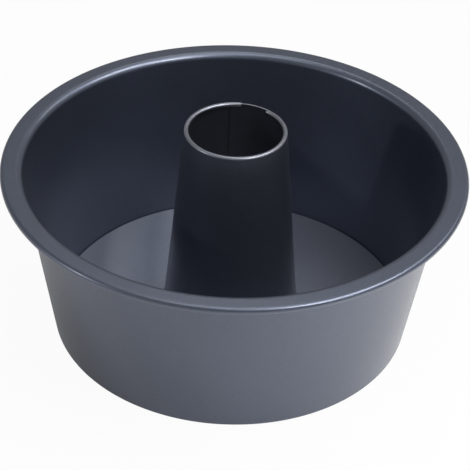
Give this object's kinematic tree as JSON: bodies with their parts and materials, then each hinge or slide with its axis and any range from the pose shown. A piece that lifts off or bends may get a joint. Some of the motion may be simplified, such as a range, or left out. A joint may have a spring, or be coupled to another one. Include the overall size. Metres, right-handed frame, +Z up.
{
  "type": "angel food cake pan",
  "caption": "Round tapered baking pan with a flat rolled rim and a lift-out floor that carries a tall tapered centre tube, for baking and cooling ring-shaped sponge cakes.",
  "frame": {"origin": "centre of the base, on the surface the pan stands on", "axes": "+Z up along the pan's axis, +Y towards the back, where the tube's lapped seam is, +X to the right"},
  "size_m": [0.26, 0.26, 0.1245],
  "materials": {
    "coated_steel": "dark grey metallic non-stick coating, satin, on carbon steel sheet"
  },
  "bodies": {
    "pan": {"pan_shell": "coated_steel"},
    "core": {"base_disc": "coated_steel", "centre_tube": "coated_steel"}
  },
  "joints": [
    {"name": "core_lift", "type": "slide", "parent": "pan", "child": "core", "axis": [0, 0, 1], "range_m": [0, 0.13]}
  ]
}
